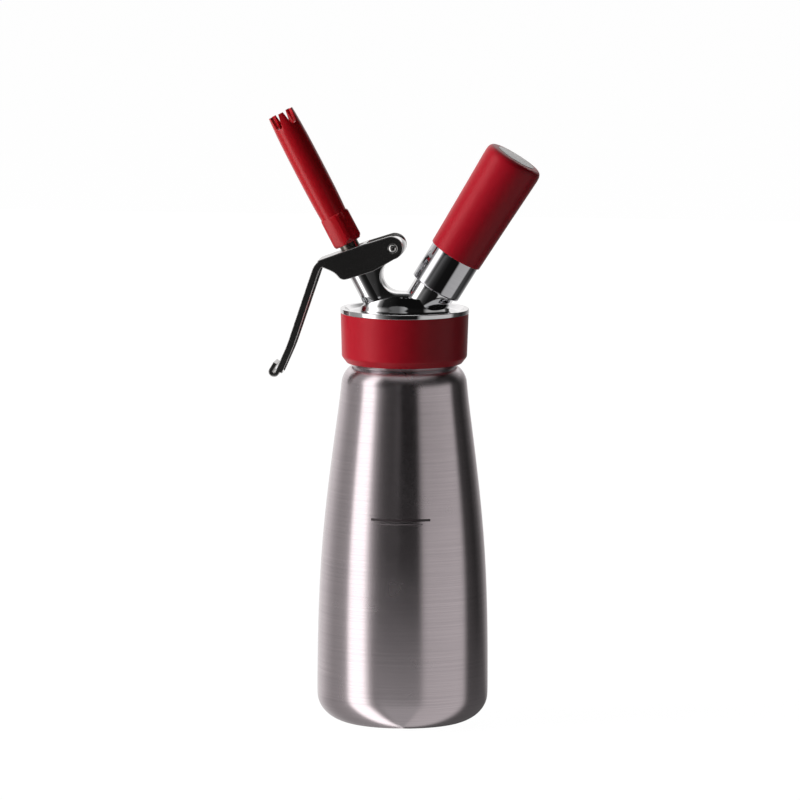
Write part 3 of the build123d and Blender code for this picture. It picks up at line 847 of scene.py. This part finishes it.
def makeSoftPlastic(name, dark, light, smooth, rough, bump=0.05, grain=1400.0, dust=0.04, place=None,
                    specular=0.5):
    material, tree, shader, vector = startMaterial(name, place)
    marks = addGroup(tree, handling, vector, -900, 100, Marks=45.0, Specks=700.0)
    lines = addGroup(tree, brushLines, vector, -900, -250, Across=grain, Along=grain, Clouds=22.0)
    colour = blendColours(tree, lines.outputs["Clouds"], dark, light, -550, 250)
    dusty = addMath(tree, 'MULTIPLY', -550, 50, marks.outputs["Specks"], dust)
    speckled = blendColours(tree, dusty, colour, (0.75, 0.7, 0.68), -300, 200)
    tree.links.new(speckled, shader.inputs["Base Color"])
    addShine(tree, shader, lines.outputs["Clouds"], marks.outputs["Marks"], smooth, rough, 0.5)
    shader.inputs["Specular IOR Level"].default_value = specular
    addBump(tree, lines.outputs["Lines"], shader, bump)
    return material


fillMark = {    # height, thickness, left and right end in degrees from the front, and how dark
    "lines": [(101.9, 1.15, -18.0, 26.5, 0.92), (99.9, 0.6, -11.5, 20.5, 0.5)],
    "colour": (0.035, 0.025, 0.027),
}


def addFillMark(material):    # two printed lines on the front of the bottle
    tree = material.node_tree
    shader = tree.nodes["Principled BSDF"]
    coordinates = addNode(tree, 'ShaderNodeTexCoord', -1400, 900)
    split = addNode(tree, 'ShaderNodeSeparateXYZ', -1200, 900, {0: coordinates.outputs["Object"]})
    front = addMath(tree, 'MULTIPLY', -1050, 800, split.outputs["Y"], -1.0)
    around = addMath(tree, 'ARCTAN2', -900, 900, split.outputs["X"], front)
    inks = []
    for i, (height, thickness, left, right, ink) in enumerate(fillMark["lines"]):
        y = 1000 - 300 * i
        middle, half = math.radians((left + right) / 2), math.radians((right - left) / 2)
        band = addMath(tree, 'COMPARE', -700, y, split.outputs["Z"], height * mm, thickness / 2 * mm)
        span = addMath(tree, 'COMPARE', -700, y - 150, around, middle, half)
        both = addMath(tree, 'MULTIPLY', -500, y - 50, band, span)
        inks.append(addMath(tree, 'MULTIPLY', -350, y - 50, both, ink))
    mark = addMath(tree, 'MAXIMUM', -200, 800, *inks)
    steel = shader.inputs["Base Color"].links[0].from_socket
    marked = blendColours(tree, mark, steel, fillMark["colour"], -100, 500)
    tree.links.new(marked, shader.inputs["Base Color"])
    tree.links.new(addMath(tree, 'SUBTRACT', -50, 700, 1.0, mark), shader.inputs["Metallic"])


def wear(piece, material):    # puts one material all over a piece
    piece.data.materials.clear()
    piece.data.materials.append(material)


# each: name, darkest and lightest colour, least and most roughness
bottleSteel = makeMetal("bottleSteel", (0.56, 0.5, 0.525), (0.7, 0.625, 0.65), 0.23, 0.28, bump=0.03,
                        stretch=0.82)
addFillMark(bottleSteel)
headChrome = makeMetal("headChrome", (0.72, 0.72, 0.73), (0.80, 0.80, 0.81), 0.03, 0.07, across=600,
                       along=600, bump=0.006)
sleeveChrome = makeMetal("sleeveChrome", (0.52, 0.52, 0.54), (0.60, 0.60, 0.62), 0.04, 0.08, across=2200,
                         along=14, bump=0.01, place=chargerPlace)
leverSteel = makeMetal("leverSteel", (0.42, 0.415, 0.41), (0.54, 0.53, 0.52), 0.16, 0.24, across=2600,
                       along=60, bump=0.03, place=leverPlace)
turnedSteel = makeMetal("turnedSteel", (0.60, 0.59, 0.58), (0.74, 0.73, 0.72), 0.12, 0.2, bump=0.03,
                        place=valvePlace)
# painted shade: the nut's steel is darkened to stand for the shade in the gap between the tip and the lever
nutSteelPaintedShade = makeMetal("nutSteelPaintedShade", (0.2, 0.18, 0.16), (0.32, 0.29, 0.26), 0.2, 0.3, bump=0.03,
                     place=valvePlace)
wireSteel = makeMetal("wireSteel", (0.55, 0.54, 0.53), (0.68, 0.67, 0.66), 0.15, 0.25, along=300, bump=0.03)
zincSteel = makeMetal("zincSteel", (0.46, 0.47, 0.49), (0.62, 0.63, 0.65), 0.22, 0.34, across=500,
                      along=400, bump=0.03, place=chargerPlace)
redSilicone = makeSoftPlastic("redSilicone", (0.47, 0.004, 0.016), (0.54, 0.007, 0.022), 0.34, 0.4,
                              dust=0.015, specular=0.28)
redPlastic = makeSoftPlastic("redPlastic", (0.52, 0.003, 0.01), (0.6, 0.006, 0.015), 0.2, 0.28, bump=0.01,
                             grain=300.0, dust=0.0, place=valvePlace)
paleCap = makeSoftPlastic("paleCap", (0.6, 0.585, 0.57), (0.68, 0.66, 0.65), 0.2, 0.28, bump=0.03,
                          place=chargerPlace)
sealRubber = makeSoftPlastic("sealRubber", (0.55, 0.53, 0.5), (0.64, 0.62, 0.6), 0.5, 0.6)
print("materials made")


# ---- what each piece is made of, rides on and stands for

for piece, material, body, node, slot in (
        (bottleShell, bottleSteel, "bottle", "bottle", "bottle_steel"),
        (neckThread, bottleSteel, "bottle", "bottle", "bottle_steel"),
        (headDisc, headChrome, "head", "head", "head_chrome"),
        (headWeb, headChrome, "head", "head", "head_chrome"),
        (spigotThread, headChrome, "head", "head", "head_chrome"),
        (collarSkin, redSilicone, "head", "collar_sleeve", "red_silicone"),
        (leverSkin, leverSteel, "lever", "lever", "lever_steel"),
        (pinSkin, turnedSteel, "head", "lever_pin", "lever_steel"),
        (nutSkin, nutSteelPaintedShade, "valve", "stem_nut", "small_steel"),
        (springCoil, wireSteel, "head", "valve_spring", "small_steel"),
        (tipSkin, redPlastic, "tip", "decorator_tip", "red_plastic"),
        (sleeveSkin, sleeveChrome, "holder", "holder_sleeve", "holder_chrome"),
        (gripSkin, redSilicone, "holder", "holder_grip", "red_silicone"),
        (capSkin, paleCap, "holder", "holder_cap", "cap_plastic")):
    wear(piece, material)
    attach(piece, body)
    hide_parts(node)
for name in ("head_gasket", "valve_seal", "stem_ring", "tip_seal_ring", "check_valve", "charger_gasket"):
    wear(nodes[name], sealRubber)
for name in ("valve_stem", "piercing_insert", "piercing_pin"):
    wear(nodes[name], turnedSteel)
wear(nodes["gas_charger"], zincSteel)
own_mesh(springCoil)
print("pieces placed")


# ---- floor, light tent, lamps and camera

studio = {
    "turn": 6.5,         # degrees of the camera round the object, towards +X
    "rise": 7.1,
    "roll": 0.33,
    "distance": 6.0,
    "aim": (-2.0, 0.0, 154.9),
    "viewWidth": 381.8,    # millimetres across the picture at the object
    "worldLevel": 0.028,
    "worldShown": 1.15,    # what the camera sees of the backdrop and of the floor
    "floorShown": 1.12,
    "floorShare": 0.88,    # the rest is the floor's own tone with the object's shadow
    "floorTone": (0.6, 0.6, 0.6, 1),
    "overhead": 0.55,      # what polished metal sees above the tent
    "tentRadius": 1.3,
    "tentHeight": 1.9,
    "tentSplit": (0.4, 0.52),    # heights between which the lower bands turn into the upper ones
    "clothTint": (1, 0.985, 0.98),
    "lampAim": (0, 0, 0.15),
}
tentBands = {    # degrees round from the camera towards +X, and how bright the cloth is there
    "lower": [(-180, 0.95), (-160, 0.9), (-135, 0.72), (-119, 0.44), (-108, 0.33), (-92, 0.36), (-82, 0.45),
              (-79, 1.9), (-56, 1.9), (-52, 0.9), (-47, 0.4), (-40, 0.19), (-33, 0.09), (-24, 0.035),
              (-10, 0.01), (22, 0.008), (29, 0.5), (35, 0.58), (90, 0.63), (99, 0.07), (122, 0.02),
              (138, 0.1), (160, 0.45), (180, 0.95)],
    "upper": [(-180, 1.2), (-150, 1.1), (-125, 0.6), (-100, 0.35), (-88, 0.5), (-84, 1.9), (-62, 1.9),
              (-55, 0.3), (-46, 0.02), (-20, 0.005), (120, 0.005), (140, 0.35), (158, 1.1), (180, 1.2)],
}
lowLamp = {    # an oval seen low in the hub: middle and half width in degrees and metres, and its two levels
    "around": (-19, 16),
    "height": (0.47, 0.12),
    "levels": (0.13, 0.4),
}
floorGlow = {    # pale patch that gloss sees on the floor before the object
    "level": 0.44,
    "reach": (0.25, 0.38),    # metres from the middle: full inside the first, gone at the second
    "edge": (0.6, 0.85),      # cosine of the angle from the camera
    "sideShare": 0.25,
    "ahead": 0.03,
}
brightest = max(level for bands in tentBands.values() for angle, level in bands)


def makeCamera():
    turn, rise = math.radians(studio["turn"]), math.radians(studio["rise"])
    back = Vector((math.sin(turn) * math.cos(rise), -math.cos(turn) * math.cos(rise), math.sin(rise)))
    place = Vector(studio["aim"]) * mm + back * studio["distance"]
    bpy.ops.object.camera_add(location=place)
    camera = bpy.context.object
    look = (-back).to_track_quat('-Z', 'Y').to_matrix().to_4x4()
    roll = Matrix.Rotation(math.radians(studio["roll"]), 4, 'Z')
    camera.matrix_world = Matrix.Translation(place) @ look @ roll
    camera.data.sensor_width = 36
    camera.data.lens = 36 * studio["distance"] / (studio["viewWidth"] * mm)
    camera.data.clip_end = 100
    bpy.context.scene.camera = camera


def aroundCamera(angle, distance, height):    # a place seen from the object at an angle from the camera
    turn = math.radians(studio["turn"] + angle)
    return Vector((math.sin(turn) * distance, -math.cos(turn) * distance, height))


def addSoftbox(name, angle, width, height, level, distance=2.2, middle=0.25):
    place = aroundCamera(angle, distance, middle)
    away = Vector(studio["lampAim"]) - place
    bpy.ops.object.light_add(type='AREA', location=place)
    lamp = bpy.context.object
    lamp.name = name
    lamp.rotation_euler = away.to_track_quat('-Z', 'Y').to_euler()
    lamp.data.shape = 'RECTANGLE'
    lamp.data.size = width
    lamp.data.size_y = height
    lamp.data.energy = level * (math.pi * away.length) ** 2    # level is for a surface that faces it
    lamp.visible_camera = False
    lamp.visible_glossy = False


def addBands(group, bands, source, x, y):    # one turn of bands as a colour ramp
    panels = addNode(group, 'ShaderNodeValToRGB', x, y, {"Fac": source})
    stops = panels.color_ramp.elements
    while len(stops) < len(bands):
        stops.new(0.5)
    for i in range(len(bands)):
        stops[i].position = i / len(bands)
    for i, (angle, level) in reversed(list(enumerate(bands))):
        stops[i].position = angle / 360 + 0.5
        stops[i].color = (*[level / brightest * share for share in studio["clothTint"]], 1)
    return panels.outputs["Color"]


def addOval(group, around, height, x, y):    # the low lamp: where it is, and its colour
    spans = [addRange(group, source, (middle - half, middle + half), (-1, 1), x, y - 200 * i, clamp=False)
             for i, (source, middle, half) in enumerate((
                 (around, lowLamp["around"][0] / 360 + 0.5, lowLamp["around"][1] / 360),
                 (height, *lowLamp["height"])))]
    spot = addNode(group, 'ShaderNodeCombineXYZ', x + 200, y, {0: spans[0], 1: spans[1]})
    apart = addNode(group, 'ShaderNodeVectorMath', x + 350, y, {0: spot.outputs[0]}, operation='LENGTH')
    first, second = [[level / brightest] * 3 for level in lowLamp["levels"]]
    across = addRange(group, spans[0], (0.1, 0.7), (0, 1), x + 200, y - 200)
    lamp = blendColours(group, across, first, second, x + 350, y - 200)
    return addRange(group, apart.outputs["Value"], (1.0, 0.82), (0, 1), x + 500, y), lamp


def makePanels():    # how bright the tent is in each direction round the object
    group, start, end = makeGroup("tentPanels", [("Vector", 'NodeSocketVector', None)],
                                  [("Color", 'NodeSocketColor'), ("Front", 'NodeSocketFloat')])
    vector = start.outputs["Vector"]
    turned = addNode(group, 'ShaderNodeMapping', -600, 0, {
        "Vector": vector, "Rotation": (0, 0, math.radians(90 - studio["turn"]))}).outputs[0]
    gradient = addNode(group, 'ShaderNodeTexGradient', -400, 0, {"Vector": turned}, gradient_type='RADIAL')
    around = gradient.outputs["Fac"]
    height = addNode(group, 'ShaderNodeSeparateXYZ', -600, -350, {0: vector}).outputs["Z"]
    lower = addBands(group, tentBands["lower"], around, -200, 150)
    upper = addBands(group, tentBands["upper"], around, -200, -100)
    share = addRange(group, height, studio["tentSplit"], (0, 1), -400, -350)
    inside, lamp = addOval(group, around, height, -200, -400)
    cloth = blendColours(group, share, lower, upper, 0, 0)
    group.links.new(blendColours(group, inside, cloth, lamp, 350, 0), end.inputs["Color"])
    flat = addMath(group, 'NORMALIZE', -400, 350, turned, kind='ShaderNodeVectorMath')
    ahead = addNode(group, 'ShaderNodeSeparateXYZ', -200, 350, {0: flat}).outputs["X"]
    front = addRange(group, ahead, floorGlow["edge"], (floorGlow["sideShare"], 1), 0, 350)
    group.links.new(front, end.inputs["Front"])
    return group


def addPanels(tree, x, y, ahead=0.0):    # the panels as a colour, round a point that far before the axis
    coordinates = addNode(tree, 'ShaderNodeTexCoord', x - 600, y).outputs["Object"]
    moved = addMath(tree, 'SUBTRACT', x - 400, y, coordinates, aroundCamera(0, ahead, 0),
                    kind='ShaderNodeVectorMath')
    panels = addNode(tree, 'ShaderNodeGroup', x - 200, y, {"Vector": moved}, node_tree=tentPanels)
    return panels, coordinates


def clearTree(owner):
    owner.use_nodes = True
    owner.node_tree.nodes.clear()
    return owner.node_tree


def addGlow(tree, strength, x, y, inputs=None):
    return addNode(tree, 'ShaderNodeEmission', x, y, {"Strength": strength, **(inputs or {})}).outputs[0]


def mixShaders(tree, share, first, second, x, y):
    return addNode(tree, 'ShaderNodeMixShader', x, y, {0: share, 1: first, 2: second}).outputs[0]


def addSeen(tree, x, y):    # whether a ray comes from the camera, and whether it comes from gloss
    path = addNode(tree, 'ShaderNodeLightPath', x, y)
    camera, through = path.outputs["Is Camera Ray"], path.outputs["Is Transmission Ray"]
    return addMath(tree, 'MAXIMUM', x + 200, y, camera, through), path.outputs["Is Glossy Ray"]


def makeTent():    # upright cloth with white and dark panels, seen only in gloss
    deselectAll()
    height = studio["tentHeight"]
    bpy.ops.mesh.primitive_cylinder_add(vertices=128, radius=studio["tentRadius"], depth=height,
                                        end_fill_type='NOTHING', location=(0, 0, height / 2))
    tent = bpy.context.object
    tent.name = "tent"
    settle(tent)
    material = bpy.data.materials.new("tentCloth")
    tree = clearTree(material)
    panels = addPanels(tree, 0, 0)[0]
    glow = addGlow(tree, brightest, 0, 0, {"Color": panels.outputs["Color"]})
    addNode(tree, 'ShaderNodeOutputMaterial', 200, 0, {0: glow})
    wear(tent, material)
    tent.visible_camera = False
    tent.visible_diffuse = False
    tent.visible_transmission = False
    tent.visible_shadow = False


def makeFloor():    # white to the camera but for the shadow, and polished metal sees the tent's panels in it
    bpy.ops.mesh.primitive_plane_add(size=60, location=(0, 0, -0.0002))
    floor = bpy.context.object
    floor.name = "floor"
    material = bpy.data.materials.new("paleFloor")
    tree = clearTree(material)
    seen, glossy = addSeen(tree, -600, 200)
    share = addMath(tree, 'MULTIPLY', -200, 200, seen, studio["floorShare"])
    diffuse = addNode(tree, 'ShaderNodeBsdfDiffuse', -200, 0, {"Color": studio["floorTone"]}).outputs[0]
    plain = mixShaders(tree, share, diffuse, addGlow(tree, studio["floorShown"], -200, -150), 0, 0)
    panels, coordinates = addPanels(tree, -300, -400, ahead=floorGlow["ahead"])
    apart = addNode(tree, 'ShaderNodeVectorMath', -600, -650, {0: coordinates}, operation='LENGTH')
    near = addRange(tree, apart.outputs["Value"], floorGlow["reach"], (floorGlow["level"] / brightest, 0),
                    -400, -850)
    pale = addMath(tree, 'MULTIPLY', -200, -850, near, panels.outputs["Front"])
    both = addNode(tree, 'ShaderNodeMix', 100, -500, {0: 1.0, 6: panels.outputs["Color"], 7: pale},
                   data_type='RGBA', blend_type='LIGHTEN')
    mirrored = addGlow(tree, brightest, 250, -300, {"Color": both.outputs[2]})
    shown = mixShaders(tree, glossy, plain, mirrored, 400, 0)
    addNode(tree, 'ShaderNodeOutputMaterial', 600, 0, {0: shown})
    wear(floor, material)


def makeWorld():
    world = bpy.data.worlds.new("studio")
    bpy.context.scene.world = world
    tree = clearTree(world)
    seen, glossy = addSeen(tree, -800, 200)
    levels = []
    for y, level in ((0, "worldLevel"), (-150, "overhead"), (-300, "worldShown")):
        inputs = {"Color": (1, 1, 1, 1), "Strength": studio[level]}
        levels.append(addNode(tree, 'ShaderNodeBackground', -400, y, inputs).outputs[0])
    plain, above, shown = levels
    lit = mixShaders(tree, glossy, plain, above, -200, 0)
    addNode(tree, 'ShaderNodeOutputWorld', 200, 0, {0: mixShaders(tree, seen, lit, shown, 0, 0)})


bpy.context.scene.view_settings.view_transform = 'Standard'
makeWorld()
tentPanels = makePanels()
makeFloor()
makeTent()
addSoftbox("leftSoftbox", -74, 1.5, 2.2, 1.6)
addSoftbox("backSoftbox", 175, 1.8, 2.2, 0.4)
addSoftbox("topSoftbox", 160, 1.2, 1.2, 0.12, distance=0.8, middle=2.2)
makeCamera()
print("studio set")
